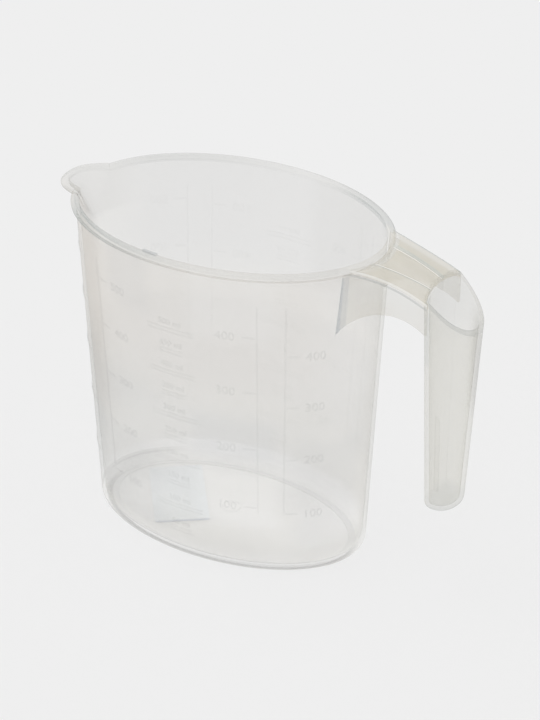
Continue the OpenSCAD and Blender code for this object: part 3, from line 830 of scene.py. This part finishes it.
def make_bridge():
    stations = [BRIDGE_FROM + (BRIDGE_TO - BRIDGE_FROM) * i / 34 for i in range(35)]
    x = stations[0]
    bridge = draw_path("bridge", [(x, y, z) for y, z in bridge_section(x)], closed=True)
    bpy.ops.mesh.select_all(action="SELECT")
    for next_x in stations[1:]:
        extrude(next_x - x, 0, crown_z(next_x) - crown_z(x))
        wider = bridge_half_w(next_x) - bridge_half_w(x)
        channel = channel_half_w(x)
        channel_wider = channel_half_w(next_x) - channel
        for side in (-1, 1):
            pick(bridge, lambda p: abs(p.x - next_x) < CLOSE and p.y * side > channel + 0.6)
            shift(y=side * wider)
            pick(bridge, lambda p: abs(p.x - next_x) < CLOSE and 0.01 < p.y * side < channel + 0.6)
            shift(y=side * channel_wider)
        middle = bridge_half_w(next_x) - WEB_T / 2
        for knee, outer in ((KNEE, True), (INNER_KNEE, False)):
            ratio = (crown_z(next_x) - knee - arch_z(next_x)) / (crown_z(x) - knee - arch_z(x))
            pick(bridge, lambda p: abs(p.x - next_x) < CLOSE and p.z < crown_z(next_x) - knee + 0.01
                and (abs(p.y) > middle) == outer)
            stretch(1, 1, ratio, (next_x, 0, crown_z(next_x) - knee))
        pick(bridge, lambda p: abs(p.x - next_x) < CLOSE)
        x = next_x
    for end in (stations[0], stations[-1]):
        pick(bridge, lambda p: abs(p.x - end) < CLOSE)
        bpy.ops.mesh.edge_face_add()
    face_outward()
    leave_edit()
    return bridge


grip = make_grip()
bridge = make_bridge()
# The blocks are a little smaller than what they stand for, so that the bridge reaches into wall, rim and grip
body_block = oval_cutter("body_block", [wall_size(0.12, 60), wall_size(0.12, SEAT - 0.25)]
    + [rim_size(out, SEAT + up) for out, up in ((2.2, 0.2), (2.5, 0.45), (2.4, 1.0), (1.6, 1.7), (0.8, 2.0))]
    + [rim_size(0.0, 130)])
grip_block = make_grip_block("grip_block", 0.5)
cap(grip_block)
cut(bridge, body_block, grip_block)


def make_rib(name, side):
    """One of the two low walls under the deck, along the channel's edge."""
    stations = [BRIDGE_FROM + (BRIDGE_TO - BRIDGE_FROM) * i / 20 for i in range(21)]
    x, y = stations[0], side * channel_half_w(stations[0])
    drop, depth = 1.3, 3.7    # the rib's top below the deck's, and its height
    rib = draw_path(name, [(x, y, crown_z(x) - drop), (x, y, crown_z(x) - drop - depth)])
    bpy.ops.mesh.select_all(action="SELECT")
    for next_x in stations[1:]:
        next_y = side * channel_half_w(next_x)
        extrude(next_x - x, next_y - y, crown_z(next_x) - crown_z(x))
        x, y = next_x, next_y
    leave_edit()
    apply(rib, "SOLIDIFY", thickness=1.2 * MM, offset=0.0, use_even_offset=True)
    cut(rib, body_block, grip_block)
    return rib


ribs = [make_rib("bridge_rib_near_side", -1), make_rib("bridge_rib_far_side", 1)]
remove(body_block, grip_block)
for piece in [grip, bridge] + ribs:
    smooth(piece, 35)
dress(grip, grip_plastic, "clear_plastic", "grip_shell", "grip_end")
dress(bridge, bridge_plastic, "clear_plastic", "bridge_deck", "bridge_web_near", "bridge_web_far")
dress(ribs[0], rib_plastic, "clear_plastic", "bridge_rib_near")
dress(ribs[1], rib_plastic, "clear_plastic", "bridge_rib_far")

# Numbers beside the scales


def inside_area(z):
    return pi * (outer_rx(z) - WALL) * (outer_ry(z) - WALL)


def capacity(z):
    """Millilitres held up to a height."""
    middle = (z + FLOOR_Z) / 2
    return (z - FLOOR_Z) / 6000 * (inside_area(FLOOR_Z) + 4 * inside_area(middle) + inside_area(z))


def height_of(ml):
    low, high = 0.0, 2 * JUG_H
    for _ in range(30):
        middle = (low + high) / 2
        low, high = (middle, high) if capacity(middle) < ml else (low, middle)
    return low


def mm_per_turn(a, z):
    """How far a point of the wall moves for a radian's turn."""
    return hypot(outer_rx(z) * sin(a), outer_ry(z) * cos(a))


FIGURE_SHARE = 0.7    # a figure's height as a share of the type's size
FIGURE_T, FIGURE_OUT = 0.28, 0.15    # the figures' thickness, and how far their middle stands off the wall


def write_number(text, a, z, tall):
    """Raised figures that follow the wall, with their middle at an angle and height."""
    bpy.ops.object.text_add()
    figure = bpy.context.object
    figure.data.body = text
    figure.data.align_x, figure.data.align_y = "CENTER", "CENTER"
    figure.data.size = tall / FIGURE_SHARE
    figure.data.extrude = FIGURE_T / 2
    figure.data.resolution_u = 3
    bpy.ops.object.convert(target="MESH")
    edit(figure)
    bpy.ops.mesh.select_all(action="SELECT")
    bpy.ops.mesh.remove_doubles(threshold=0.0005)
    face_outward()
    leave_edit()
    turn = 1 / mm_per_turn(a, z)
    for vert in figure.data.vertices:
        along, above, out = vert.co
        vert.co = on_wall(a + along * turn, z + above, -FIGURE_OUT - out) * MM
    return figure


def join(pieces, name):
    bpy.ops.object.select_all(action="DESELECT")
    for piece in pieces:
        piece.select_set(True)
    bpy.context.view_layer.objects.active = pieces[0]
    bpy.ops.object.join()
    return start_piece(pieces[0], name)


TICK, LINE_W, SCALE_TOP = 4.2, 0.6, 109.0
# The figures' height, and how far up from their mark and beyond its end they stand
VOLUME_TALL, VOLUME_UP, WEIGHT_TALL, WEIGHT_UP, WEIGHT_PAST = 2.2, 2.0, 3.2, -0.6, 5.9
# Angle from the handle, side on which the numbers stand, grams in a millilitre
WEIGHT_SCALES = ((-142, -1, 0.9), (-127.5, 1, 0.92), (-59.7, -1, 0.78), (-49, 1, 0.85),
    (45, -1, 0.85), (53, 1, 0.78), (118.8, -1, 0.92), (128.6, 1, 0.9))


def write_scales():
    near, far = [], []
    for turn, figures in ((-92, near), (88, far)):
        for ml in range(50, 501, 50):
            z = height_of(ml) + VOLUME_UP
            figures.append(write_number(f"{ml} ml", radians(turn), z, VOLUME_TALL))
    for turn, side, density in WEIGHT_SCALES:
        a, figures = radians(turn), near if turn < 0 else far
        for grams in range(100, 501, 100):
            z = height_of(grams / density)
            if z < SCALE_TOP:
                away = (LINE_W / 2 + TICK + WEIGHT_PAST) / mm_per_turn(a, z)
                figures.append(write_number(str(grams), a + side * away, z + WEIGHT_UP, WEIGHT_TALL))
    return join(near, "numbers_near"), join(far, "numbers_far")


numbers_near, numbers_far = write_scales()
dress(numbers_near, number_plastic, "clear_plastic")
dress(numbers_far, far_mark_plastic, "clear_plastic")


def make_sticker():
    """A paper label under the floor, with rounded corners and a slight wave."""
    bpy.ops.mesh.primitive_grid_add(x_subdivisions=28, y_subdivisions=16, size=1)
    label = start_piece(bpy.context.object, "paper_label")
    edit(label)
    bpy.ops.mesh.select_all(action="SELECT")
    stretch(LABEL_L * MM, LABEL_W * MM, 1)
    bpy.ops.mesh.select_all(action="DESELECT")
    mesh = bmesh.from_edit_mesh(label.data)
    for vert in mesh.verts:
        if len(vert.link_edges) == 2:
            vert.select = True
    bmesh.update_edit_mesh(label.data)
    bpy.ops.mesh.bevel(offset=1.0 * MM, segments=4, affect="VERTICES")
    bpy.ops.mesh.select_all(action="SELECT")
    bpy.ops.transform.rotate(value=LABEL_TURN, orient_axis="Z", center_override=ORIGIN)
    shift(LABEL_X, 0, LABEL_Z)
    leave_edit()
    for vert in label.data.vertices:
        x, y = vert.co.x / MM, vert.co.y / MM
        vert.co.z -= (0.035 + 0.035 * sin(x * 0.45 + 1.0) * cos(y * 0.3)) * MM
    apply(label, "SOLIDIFY", thickness=LABEL_T * MM, offset=-1.0)
    return label


sticker = make_sticker()
smooth(sticker, 30)
dress(sticker, paper, "paper", "sticker")

# The nodes that stay as they are get their materials

FINISHES = {"rim_nick": dark_nick_plastic, "grip_rib": rib_plastic}
FINISHES.update({name: far_mark_plastic for name in ("volume_scale_far", "weight_scale_e", "weight_scale_f",
    "weight_scale_g", "weight_scale_h")})
for name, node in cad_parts.items():
    if not node.hide_render:
        node.data.materials.clear()
        node.data.materials.append(FINISHES.get(name, mark_plastic).data)

# Floor and light

BACKDROP = (0.863, 0.863, 0.863)
SHADOWLESS = 0.75    # share of the floor's colour that no shadow reaches, as seen by the camera
SKY_STRENGTH, SUN_STRENGTH, SUN_SOFTNESS = 0.835, 0.87, 50    # the softness is in degrees
SEEN_THROUGH = 48    # how many see-through surfaces a ray may pass


def add_floor():
    bpy.ops.mesh.primitive_plane_add(size=8)
    floor = start_piece(bpy.context.object, "floor")
    m = Material("floor_paint", (0.9, 0.9, 0.9), 1.0, Specular_IOR_Level=0.0)
    path = m.nodes.new("ShaderNodeLightPath")
    camera, glossy, through = (Shade(m, path.outputs[f"Is {kind} Ray"])
        for kind in ("Camera", "Glossy", "Transmission"))
    glow = m.nodes.new("ShaderNodeEmission")
    glow.inputs["Color"].default_value = (*BACKDROP, 1.0)
    mix = m.nodes.new("ShaderNodeMixShader")
    m.feed(mix.inputs[0], (camera + glossy + through) * SHADOWLESS)
    m.links.new(m.shader.outputs[0], mix.inputs[1])
    m.links.new(glow.outputs[0], mix.inputs[2])
    m.links.new(mix.outputs[0], m.nodes["Material Output"].inputs["Surface"])
    floor.data.materials.append(m.data)


def add_sun(name, towards_light, strength, softness):
    data = bpy.data.lights.new(name, "SUN")
    data.energy, data.angle = strength, radians(softness)
    sun = bpy.data.objects.new(name, data)
    bpy.context.scene.collection.objects.link(sun)
    sun.rotation_euler = Vector(towards_light).to_track_quat("Z", "Y").to_euler()


def light_studio():
    world = bpy.data.worlds.new("studio")
    world.use_nodes = True
    bpy.context.scene.world = world
    sky = world.node_tree.nodes["Background"]
    sky.inputs["Color"].default_value = (*BACKDROP, 1.0)
    sky.inputs["Strength"].default_value = SKY_STRENGTH
    add_sun("key", (-0.75, -0.25, 1.3), SUN_STRENGTH, SUN_SOFTNESS)
    bpy.context.scene.view_settings.view_transform = "Standard"
    bpy.context.scene.cycles.transparent_max_bounces = SEEN_THROUGH


add_floor()
light_studio()
